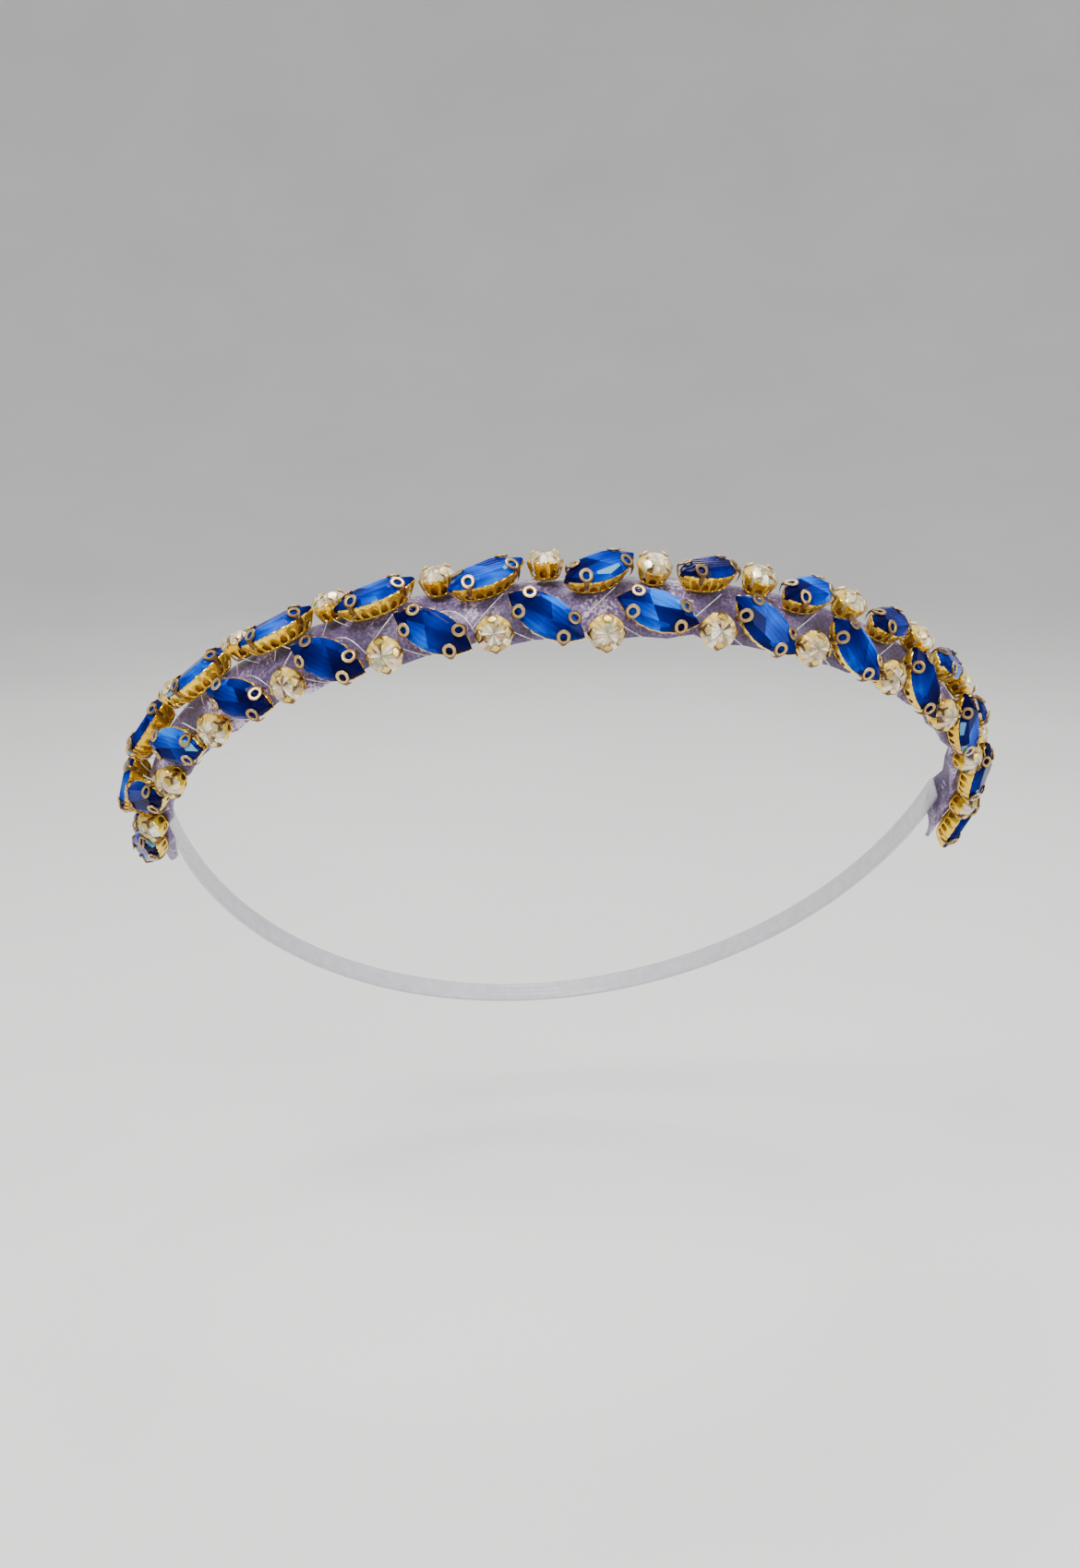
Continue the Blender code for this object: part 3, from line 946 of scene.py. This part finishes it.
def strip(name, columns, across, wall, material, slot, nodes):
    """A thin curved strip: a grid laid on the points that across(column) gives, then its wall."""
    lines = [across(column) for column in columns]
    shape = bmesh.new()
    long, wide = len(lines) - 1, len(lines[0]) - 1
    bmesh.ops.create_grid(shape, x_segments=long, y_segments=wide, size=1.0)
    place = shape.loops.layers.uv.new("local")
    for face in shape.faces:
        for loop in face.loops:
            loop[place].uv = (loop.vert.co.x * long, (loop.vert.co.y + 1.0) / 2.0 * wide)
    for vert in shape.verts:
        column = round((vert.co.x + 1.0) / 2.0 * long)
        row = round((vert.co.y + 1.0) / 2.0 * wide)
        vert.co = lines[column][row]
    piece = finish_piece(name, shape, material, slot, nodes, smooth_under=50.0)
    skin = piece.modifiers.new("wall", "SOLIDIFY")
    skin.thickness = wall
    skin.offset = -1.0
    skin.use_even_offset = True
    return piece


# The film's grid, its steps to a pitch and its lines across, and its wall, which is thinner
# than the solid's and lies this far under its outer face.
FILM_STEPS = 16
FILM_LINES = 12
FILM_WALL = 0.8 * MM
FILM_SINK = 0.2 * MM
QUARTERS = len(FRONT_CUT)


def film_width(cut, station):
    """How far an edge of the film reaches at a station, one to a quarter of a pitch, cut in
    straight runs."""
    low = math.floor(station)
    share = station - low
    return cut[low % QUARTERS] * (1.0 - share) + cut[(low + 1) % QUARTERS] * share


def rounded_end(along, taper):
    """The share of its full width that one half of the film has near its rounded ends."""
    past = max(0.0, abs(along) - (FILM_END - taper)) / taper
    return math.sqrt(1.0 - past**2)


def film_line(along):
    """The points across the film at a length along it. The back edge is cut half a pitch off
    the front edge."""
    station = along / PITCH * QUARTERS - 0.5
    front = film_width(FRONT_CUT, station) * rounded_end(along, FRONT_TAPER)
    back = film_width(BACK_CUT, station + QUARTERS / 2) * rounded_end(along, BACK_TAPER)
    shares = [1.0 - 2.0 * line / FILM_LINES for line in range(FILM_LINES + 1)]
    widths = [share * (front if share > 0.0 else back) for share in shares]
    return [on_film(along, wide, -FILM_SINK) for wide in widths]


STRAP_COLUMNS = 120
STRAP_SHARES = (0.5, 0.25, 0.0, -0.25, -0.5)


def strap_line(along):
    """The points across the strap at a length along the loop, which may run past its back."""
    along = along if along <= LOOP.half else along - 2.0 * LOOP.half
    point, _, outward = LOOP.frame(along)
    middle = point - outward * (STRAP_DROP - STRAP_THICK / 2) - FRONT * STRAP_BACKSET
    return [WORN @ (middle + FRONT * STRAP_WIDE * share) for share in STRAP_SHARES]


def build_band():
    """The film, the strap and the threads."""
    most = FILM_END - FILM_CUT_OFF
    count = int(2 * most / PITCH * FILM_STEPS)
    columns = [-most + 2 * most * number / count for number in range(count + 1)]
    strip("film", columns, film_line, FILM_WALL, clear_film(), "clear_film", ["film_band"])
    start = FILM_END - STRAP_LAP
    span = 2.0 * (LOOP.half - start)
    columns = [start + span * number / STRAP_COLUMNS for number in range(STRAP_COLUMNS + 1)]
    elastic = clear_elastic()
    strip("strap", columns, strap_line, STRAP_THICK, elastic, "clear_elastic", ["elastic_strap"])
    thread = nylon_thread()
    thread_piece("sewing_threads", sew_threads(), THREAD_RADIUS, thread)
    thread_piece("inner_stitches", inner_stitches(), THREAD_RADIUS, thread)


# The golds, each from its darkest cast to its palest.
GOLD_CUP = (
    (0.0, (0.5, 0.24, 0.005)),
    (0.4, (0.82, 0.5, 0.02)),
    (0.8, (0.97, 0.68, 0.06)),
    (1.0, (1.0, 0.82, 0.24)),
)
GOLD_RING = (
    (0.0, (0.17, 0.09, 0.07)),
    (0.35, (0.42, 0.27, 0.1)),
    (0.65, (0.6, 0.42, 0.16)),
    (1.0, (0.74, 0.57, 0.26)),
)
GOLD_TAB = (
    (0.0, (0.55, 0.33, 0.03)),
    (0.5, (0.72, 0.52, 0.13)),
    (1.0, (0.86, 0.73, 0.42)),
)
# The tab gilt again, painted paler as painted light for the upper row, which faces the light.
PAINTED_LIGHT_TAB = (
    (0.0, (0.7, 0.52, 0.18)),
    (0.5, (0.84, 0.7, 0.36)),
    (1.0, (0.93, 0.85, 0.58)),
)
GOLD_FOIL = (
    (0.0, (0.2, 0.08, 0.003)),
    (0.6, (0.52, 0.28, 0.015)),
    (1.0, (0.8, 0.5, 0.06)),
)

# How far from a navette's middle its ring prongs are, and their shares of the way round it.
RING_ALONG = 4.6
RING_SHARE = (1.0 + math.asin(RING_ALONG / NAVETTE_RADIUS) / NAVETTE_HALF_TURN) / 4.0
RING_SHARES = (RING_SHARE, 0.5 - RING_SHARE, 0.5 + RING_SHARE, 1.0 - RING_SHARE)
TAB_SHARES = even_shares(4, 0.0)

Kind = namedtuple("Kind", "stone back cup prong prong_frames glass slot prong_gold")


def stone_kinds():
    """The two kinds of stone with their cups and prongs, each mesh ready to be copied."""
    navette_size = (NAVETTE_LONG, NAVETTE_WIDE)
    crystal_size = (CRYSTAL_WIDE, CRYSTAL_WIDE)
    navette = cut_stone(navette_edge, *navette_size, NAVETTE_SIDES, NAVETTE_CROWN, GIRDLE_DEEP)
    crystal = cut_stone(round_edge, *crystal_size, CRYSTAL_SIDES, CRYSTAL_CROWN, GIRDLE_DEEP)
    return {
        "navette": Kind(
            as_template(navette),
            as_template(foiled_back(navette_edge, *navette_size)),
            as_template(cup(navette_edge, NAVETTE_BAYS)),
            as_template(prong(RING)),
            [at_edge(navette_edge, share) for share in RING_SHARES],
            sapphire_glass(),
            "sapphire_glass",
            gilt("gilt_ring", GOLD_RING, 0.26, RING),
        ),
        "crystal": Kind(
            as_template(crystal),
            as_template(foiled_back(round_edge, *crystal_size)),
            as_template(cup(round_edge, CRYSTAL_BAYS)),
            as_template(prong(TAB)),
            [at_edge(round_edge, share) for share in TAB_SHARES],
            clear_crystal(),
            "clear_crystal",
            gilt("gilt_tab", GOLD_TAB, 0.26, TAB),
        ),
    }


CHANCE_START = 7


def build_stones():
    """Every stone with its cup and prongs, joined row by row and by material."""
    kinds = stone_kinds()
    cup_gold = gilt("gilt_cup", GOLD_CUP, 0.14)
    back_gold = gilt("gilt_foil", GOLD_FOIL, 0.3)
    # The upper row's tabs take the painted-light copy of the tab gilt, with no painted shade
    # outline.
    row_golds = {"crystal_upper": gilt("gilt_pale_tab", PAINTED_LIGHT_TAB, 0.3)}
    chance = random.Random(CHANCE_START)
    for row in ROWS:
        kind = kinds[row.kind]
        stone_shape, cup_shape, prong_shape, back_shape = (joined_piece() for _ in range(4))
        nodes = []
        for number, seat in enumerate(stone_seats(row)):
            seat = seat @ TO_METRES
            put_in(stone_shape, kind.stone, seat, chance)
            put_in(cup_shape, kind.cup, seat, chance)
            put_in(back_shape, kind.back, seat, chance)
            for frame_at_edge in kind.prong_frames:
                put_in(prong_shape, kind.prong, seat @ frame_at_edge, chance)
            nodes.append(f"{row.name}_{number + 1:02d}")
        finish_piece(row.name + "_stones", stone_shape, kind.glass, kind.slot, nodes)
        finish_piece(row.name + "_backs", back_shape, back_gold, "gilt_brass", ())
        prong_gold = row_golds.get(row.name, kind.prong_gold)
        stamped = (("_cups", cup_shape, cup_gold), ("_prongs", prong_shape, prong_gold))
        for name, shape, gold in stamped:
            piece = finish_piece(row.name + name, shape, gold, "gilt_brass", (), smooth_under=40.0)
            rounded = piece.modifiers.new("rounded", "SUBSURF")
            rounded.levels = rounded.render_levels = 1


# Stage, light and camera
CAMERA_AT = Vector((-35.56, -147.93, 262.74)) * MM
CAMERA_YAW = math.radians(11.47)
CAMERA_PITCH = math.radians(59.42)
CAMERA_ROLL = math.radians(8.29)
LENS = 32.2


def add_camera():
    """The camera of the photograph's angle, set in the loop's own axes."""
    yaw, pitch, roll = CAMERA_YAW, CAMERA_PITCH, CAMERA_ROLL
    ahead = Vector((
        math.sin(yaw) * math.cos(pitch), math.cos(yaw) * math.cos(pitch), -math.sin(pitch)
    ))
    level = Vector((math.cos(yaw), -math.sin(yaw), 0.0))
    upright = level.cross(ahead)
    right = level * math.cos(roll) + upright * math.sin(roll)
    up = upright * math.cos(roll) - level * math.sin(roll)
    turned = Matrix((right, up, -ahead)).transposed().to_4x4()
    camera = bpy.data.objects.new("camera", bpy.data.cameras.new("camera"))
    camera.data.lens = LENS
    camera.data.clip_start = 0.01
    camera.matrix_world = WORN @ Matrix.Translation(CAMERA_AT) @ turned
    bpy.context.scene.collection.objects.link(camera)
    bpy.context.scene.camera = camera


# The stage, in metres: the floor is flat for a way and then rises in a quarter turn.
FLOOR_LEVEL = -0.175
SWEEP_FLAT = 1.0
SWEEP_RISE = 1.6
SWEEP_STEPS = 12
SWEEP_SIDES = 64
SURROUND = (0.72, 0.73, 0.75, 1.0)
SURROUND_STRENGTH = 0.55
Light = namedtuple("Light", "name at size power colour")
LIGHTS = (
    Light("key_light", (-0.35, -0.45, 0.65), 0.3, 9.0, (1.0, 0.98, 0.95)),
    Light("fill_light", (0.6, -0.5, 0.35), 0.4, 5.0, (0.93, 0.96, 1.0)),
    Light("top_light", (0.05, 0.1, 0.8), 0.35, 6.0, (1.0, 1.0, 1.0)),
    Light("back_light", (0.1, 0.8, 0.5), 0.4, 3.0, (1.0, 0.97, 0.93)),
)


def pale_sweep():
    """The floor, which rises all round in a smooth sweep: a profile turned about the middle."""
    shape = bmesh.new()
    line = [shape.verts.new((0.0, 0.0, FLOOR_LEVEL))]
    for step in range(SWEEP_STEPS + 1):
        turn = math.pi / 2.0 * step / SWEEP_STEPS
        out = SWEEP_FLAT + math.sin(turn) * SWEEP_RISE
        up = (1.0 - math.cos(turn)) * SWEEP_RISE
        line.append(shape.verts.new((out, 0.0, FLOOR_LEVEL + up)))
    edges = [shape.edges.new(pair) for pair in zip(line, line[1:])]
    bmesh.ops.spin(
        shape, geom=line + edges, axis=(0.0, 0.0, 1.0), cent=(0.0, 0.0, 0.0),
        steps=SWEEP_SIDES, angle=2.0 * math.pi, use_merge=True,
    )
    bmesh.ops.remove_doubles(shape, verts=shape.verts, dist=MM)
    bmesh.ops.recalc_face_normals(shape, faces=shape.faces)
    shape.faces.ensure_lookup_table()
    if shape.faces[0].normal.z < 0.0:
        bmesh.ops.reverse_faces(shape, faces=shape.faces)
    return shape


def add_stage():
    """A pale floor, soft lamps and a pale surround."""
    mesh = bpy.data.meshes.new("floor")
    shape = pale_sweep()
    shape.to_mesh(mesh)
    shape.free()
    mesh.shade_smooth()
    mesh.materials.append(studio_floor())
    floor = bpy.data.objects.new("floor", mesh)
    bpy.context.scene.collection.objects.link(floor)
    for light in LIGHTS:
        lamp = bpy.data.lights.new(light.name, "AREA")
        lamp.size = light.size
        lamp.energy = light.power
        lamp.color = light.colour
        holder = bpy.data.objects.new(light.name, lamp)
        holder.location = light.at
        holder.rotation_euler = (-Vector(light.at)).to_track_quat("-Z", "Y").to_euler()
        bpy.context.scene.collection.objects.link(holder)
    world = bpy.data.worlds.new("surround")
    world.use_nodes = True
    backdrop = world.node_tree.nodes["Background"]
    backdrop.inputs["Color"].default_value = SURROUND
    backdrop.inputs["Strength"].default_value = SURROUND_STRENGTH
    bpy.context.scene.world = world


add_camera()
add_stage()
build_band()
build_stones()
